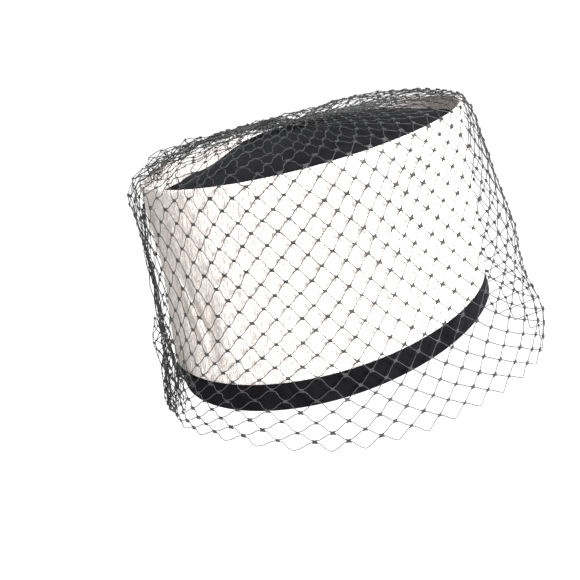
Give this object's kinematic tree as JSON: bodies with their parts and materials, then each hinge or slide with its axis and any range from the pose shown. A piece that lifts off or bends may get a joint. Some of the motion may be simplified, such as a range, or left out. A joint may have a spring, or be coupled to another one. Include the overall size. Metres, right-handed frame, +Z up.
{
  "type": "pillbox hat",
  "caption": "Pillbox hat: domed black velvet crown in a tall white leather cuff, black band at the head opening, black diamond-net veil over the whole hat, hanging below it.",
  "frame": {"origin": "middle of the head opening, in the plane of the band's lower edge, where a head holds the hat", "axes": "+Z up out of the head opening, through the crown; +X towards the wearer's front, where the veil stands furthest out; +Y towards the wearer's left"},
  "size_m": [0.2292, 0.2032, 0.1757],
  "materials": {
    "white_leather": "crinkled white leather, soft sheen",
    "black_velvet": "short-pile black velvet",
    "black_net": "stiff black millinery netting with flat knots"
  },
  "bodies": {
    "root": {"crown": "black_velvet", "leather_cuff": "white_leather", "velvet_band": "black_velvet", "veil": "black_net"}
  },
  "joints": []
}
